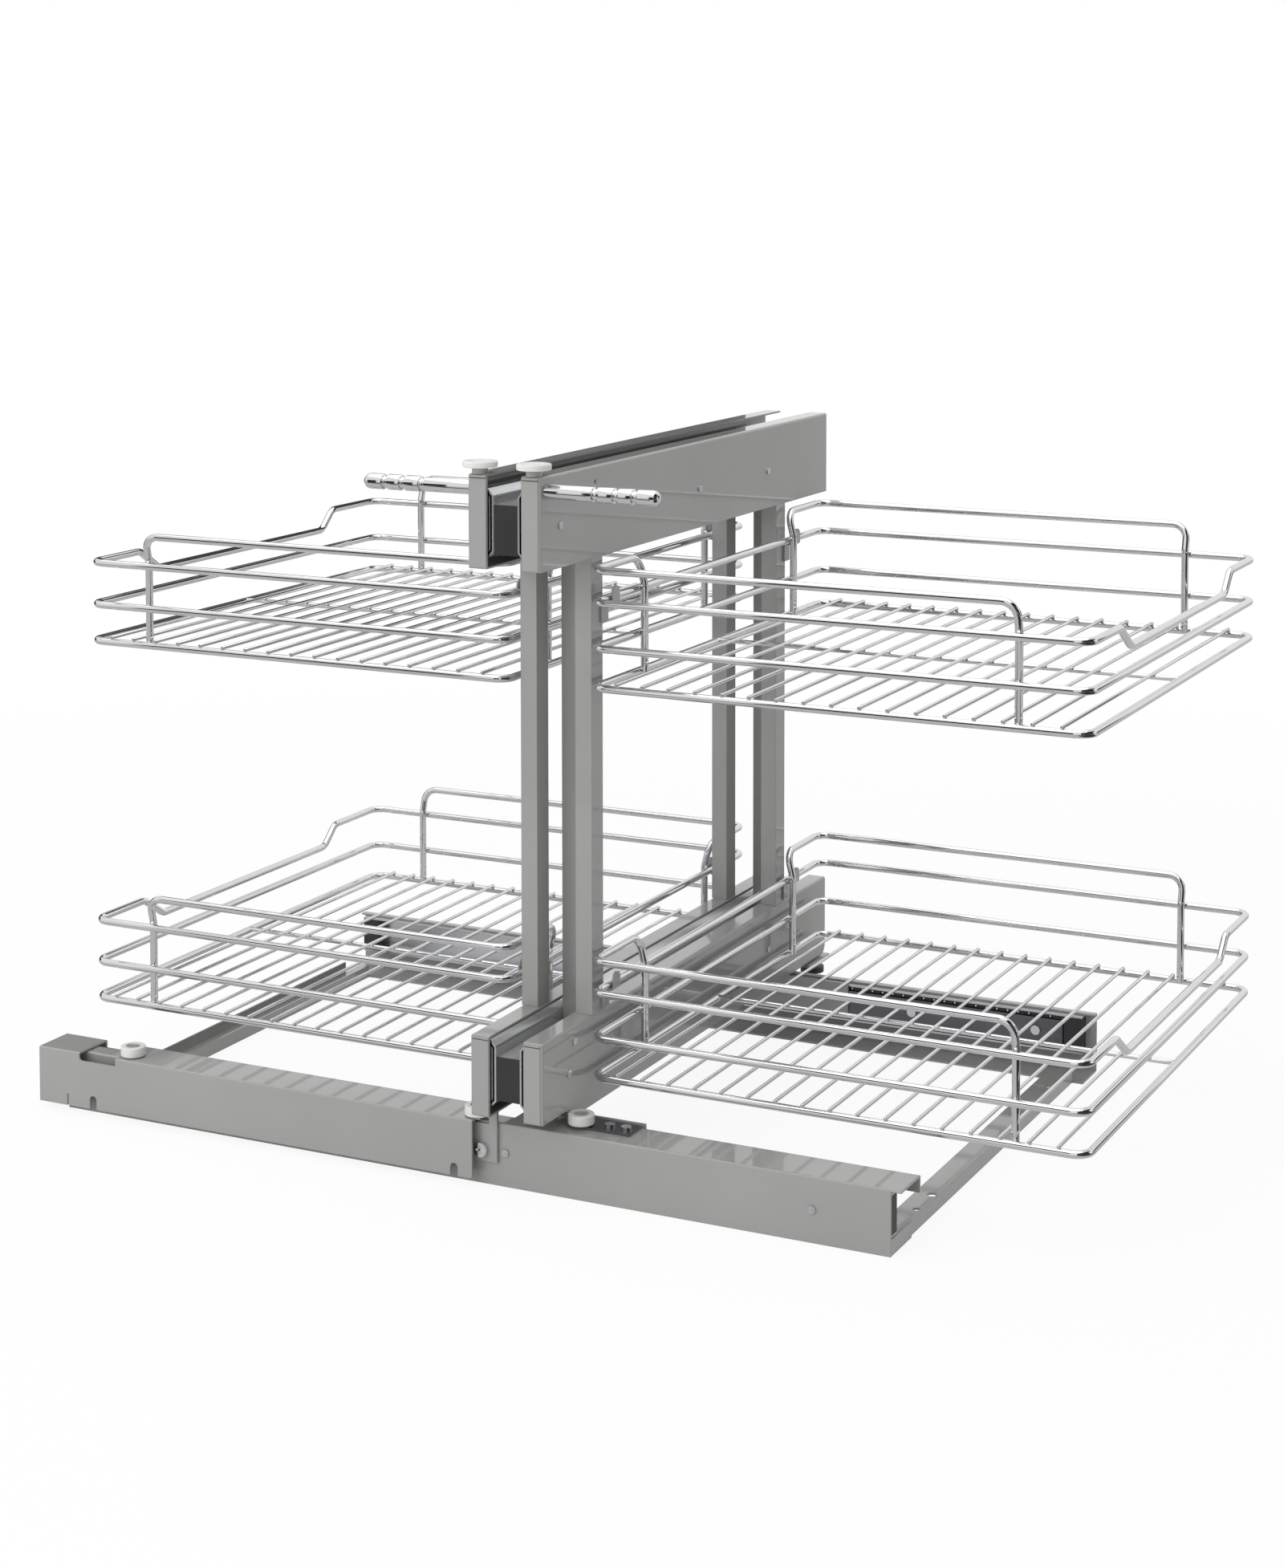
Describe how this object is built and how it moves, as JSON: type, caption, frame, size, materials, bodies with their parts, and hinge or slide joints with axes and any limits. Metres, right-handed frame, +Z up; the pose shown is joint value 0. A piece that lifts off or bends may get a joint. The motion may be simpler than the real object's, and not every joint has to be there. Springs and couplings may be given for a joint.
{
  "type": "blind corner pull-out",
  "caption": "Two-tier wire basket pull-out for a blind corner cabinet: a carriage slides sideways on a floor base and carries frames that each pull straight out.",
  "frame": {"origin": "bottom edge of the front beam's face sheet, in line with the middle of the carriage at its home end", "axes": "+X along the front beam to the right, +Y to the back of the cabinet, +Z up"},
  "size_m": [0.869, 0.5402, 0.5493],
  "materials": {
    "grey_paint": "semi-gloss grey powder coat",
    "zinc_plate": "bright zinc plate",
    "dark_zinc": "dark zinc plate",
    "bright_steel": "plated steel",
    "black_plastic": "satin black",
    "white_nylon": "off-white nylon",
    "chrome_wire": "bright chrome plate"
  },
  "bodies": {
    "base": {"front_beam": "grey_paint", "beam_cover": "grey_paint", "left_floor_rail": "grey_paint", "right_floor_rail": "grey_paint", "rear_rail": "grey_paint", "front_lateral_rail": "zinc_plate", "rear_lateral_rail": "zinc_plate", "lateral_end_caps": "black_plastic", "guide_bracket": "grey_paint", "guide_bracket_screw": "bright_steel", "home_roller_plate": "dark_zinc", "home_plate_screws": "bright_steel", "guide_roller_pins": "bright_steel", "beam_rivets": "bright_steel"},
    "lateral_cages": {"front_lateral_cage": "black_plastic", "rear_lateral_cage": "black_plastic"},
    "carriage": {"front_lateral_runner": "zinc_plate", "rear_lateral_runner": "zinc_plate", "runner_screws": "bright_steel", "carriage_lower_tube": "grey_paint", "carriage_upper_tube": "grey_paint", "carriage_posts": "grey_paint", "tube_end_caps": "black_plastic", "front_carriage_bracket": "grey_paint", "rear_carriage_bracket": "grey_paint", "tail_plate": "grey_paint", "tail_roller_pin": "bright_steel", "left_outer_slides": "zinc_plate", "right_outer_slides": "zinc_plate"},
    "left_roller": {"guide_roller_left": "white_nylon"},
    "middle_roller": {"guide_roller_middle": "white_nylon"},
    "right_roller": {"guide_roller_right": "white_nylon"},
    "tail_roller": {"tail_guide_roller": "black_plastic"},
    "left_middles": {"left_middle_slides": "zinc_plate"},
    "left_frame": {"left_top_beam": "grey_paint", "left_bottom_beam": "grey_paint", "left_front_post": "grey_paint", "left_rear_post": "grey_paint", "left_inner_slides": "zinc_plate", "left_web_rivets": "bright_steel", "left_handle": "chrome_wire", "left_disc_stud": "bright_steel", "left_basket_hooks": "grey_paint", "left_upper_basket": "chrome_wire", "left_lower_basket": "chrome_wire"},
    "left_disc": {"left_disc_roller": "white_nylon"},
    "right_middles": {"right_middle_slides": "zinc_plate"},
    "right_frame": {"right_top_beam": "grey_paint", "right_bottom_beam": "grey_paint", "right_front_post": "grey_paint", "right_rear_post": "grey_paint", "right_inner_slides": "zinc_plate", "right_web_rivets": "bright_steel", "right_handle": "chrome_wire", "right_disc_stud": "bright_steel", "right_basket_hooks": "grey_paint", "right_upper_basket": "chrome_wire", "right_lower_basket": "chrome_wire"},
    "right_disc": {"right_disc_roller": "white_nylon"}
  },
  "joints": [
    {"name": "carriage_slide", "type": "slide", "parent": "base", "child": "carriage", "axis": [-1, 0, 0], "range_m": [0, 0.358]},
    {"name": "lateral_cages_roll", "type": "slide", "parent": "base", "child": "lateral_cages", "axis": [-1, 0, 0], "range_m": [0, 0.179]},
    {"name": "left_frame_slide", "type": "slide", "parent": "carriage", "child": "left_frame", "axis": [0, -1, 0], "range_m": [0, 0.5]},
    {"name": "left_middles_slide", "type": "slide", "parent": "carriage", "child": "left_middles", "axis": [0, -1, 0], "range_m": [0, 0.25]},
    {"name": "right_frame_slide", "type": "slide", "parent": "carriage", "child": "right_frame", "axis": [0, -1, 0], "range_m": [0, 0.5]},
    {"name": "right_middles_slide", "type": "slide", "parent": "carriage", "child": "right_middles", "axis": [0, -1, 0], "range_m": [0, 0.25]},
    {"name": "left_roller_spin", "type": "hinge", "parent": "base", "child": "left_roller", "pos_m": [-0.3564, 0.0023, 0.0549], "axis": [0, 0, 1], "continuous": true},
    {"name": "middle_roller_spin", "type": "hinge", "parent": "base", "child": "middle_roller", "pos_m": [-0.0383, 0.0023, 0.0549], "axis": [0, 0, 1], "continuous": true},
    {"name": "right_roller_spin", "type": "hinge", "parent": "base", "child": "right_roller", "pos_m": [0.0412, 0.0185, 0.0549], "axis": [0, 0, 1], "continuous": true},
    {"name": "tail_roller_spin", "type": "hinge", "parent": "carriage", "child": "tail_roller", "pos_m": [0.0225, 0.498, 0.0385], "axis": [0, 0, 1], "continuous": true},
    {"name": "left_disc_spin", "type": "hinge", "parent": "left_frame", "child": "left_disc", "pos_m": [-0.0225, -0.0172, 0.547], "axis": [0, 0, 1], "continuous": true},
    {"name": "right_disc_spin", "type": "hinge", "parent": "right_frame", "child": "right_disc", "pos_m": [0.0225, -0.0172, 0.547], "axis": [0, 0, 1], "continuous": true}
  ],
  "couplings": [
    {"joint": "lateral_cages_roll", "follows": "carriage_slide", "ratio": 0.5},
    {"joint": "left_middles_slide", "follows": "left_frame_slide", "ratio": 0.5},
    {"joint": "right_middles_slide", "follows": "right_frame_slide", "ratio": 0.5}
  ]
}
